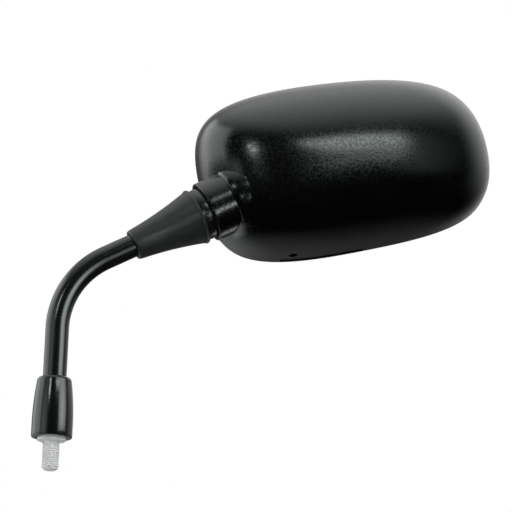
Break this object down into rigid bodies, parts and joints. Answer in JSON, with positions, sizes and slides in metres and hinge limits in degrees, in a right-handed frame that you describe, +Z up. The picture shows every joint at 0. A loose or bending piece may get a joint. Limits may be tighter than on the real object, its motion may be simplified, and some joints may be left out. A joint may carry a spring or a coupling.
{
  "type": "motorcycle_mirror",
  "caption": "Left-hand motorcycle mirror: black moulded housing with convex glass on a ball joint, bent black stem, M10 stud",
  "frame": {"origin": "centre of the adaptor's seating face, where the M10 stud begins", "axes": "+Z up along the stem away from the stud, +X towards the mirror head, +Y the way the glass faces"},
  "size_m": [0.2691, 0.054, 0.2567],
  "materials": {
    "zinc": "satin",
    "steel": "polished",
    "spring_steel": "satin",
    "stem_paint": "gloss",
    "bracket_paint": "semi-gloss",
    "gloss_plastic": "gloss",
    "housing_plastic": "fine grain",
    "carrier_plastic": "matte",
    "nylon": "satin",
    "rubber": "matte",
    "foam": "matte",
    "mirror_glass": "polished"
  },
  "bodies": {
    "foot": {"adaptor": "zinc"},
    "arm": {"stem": "stem_paint", "lock_nut": "zinc", "ball_stud": "steel", "boot": "rubber"},
    "cover": {"nut_cover": "gloss_plastic"},
    "front_seat": {"seat_front": "nylon"},
    "rear_seat": {"seat_rear": "nylon"},
    "head": {"thrust_washer": "steel", "disc_springs": "spring_steel", "retainer_plate": "steel", "circlip": "spring_steel", "socket_bracket": "bracket_paint", "bracket_screws": "zinc", "housing": "housing_plastic", "glass_carrier": "carrier_plastic", "carrier_screws": "zinc", "adhesive_pad": "foam", "glass": "mirror_glass", "rim_seal": "rubber"}
  },
  "joints": [
    {"name": "arm_swivel", "type": "hinge", "parent": "foot", "child": "arm", "pos_m": [0, 0, 0.01], "axis": [0, 0, 1], "range_deg": [-180, 180]},
    {"name": "cover_slide", "type": "slide", "parent": "arm", "child": "cover", "axis": [0, 0, 1], "range_m": [0, 0.025]},
    {"name": "head_tilt", "type": "hinge", "parent": "arm", "child": "front_seat", "pos_m": [0.08164, 0, 0.14045], "axis": [0, 1, 0], "range_deg": [-10, 10]},
    {"name": "head_swing", "type": "hinge", "parent": "front_seat", "child": "rear_seat", "pos_m": [0.08164, 0, 0.14045], "axis": [-0.4818, 0, 0.8763], "range_deg": [-10, 10]},
    {"name": "head_roll", "type": "hinge", "parent": "rear_seat", "child": "head", "pos_m": [0.08164, 0, 0.14045], "axis": [0.8763, 0, 0.4818], "continuous": true}
  ]
}
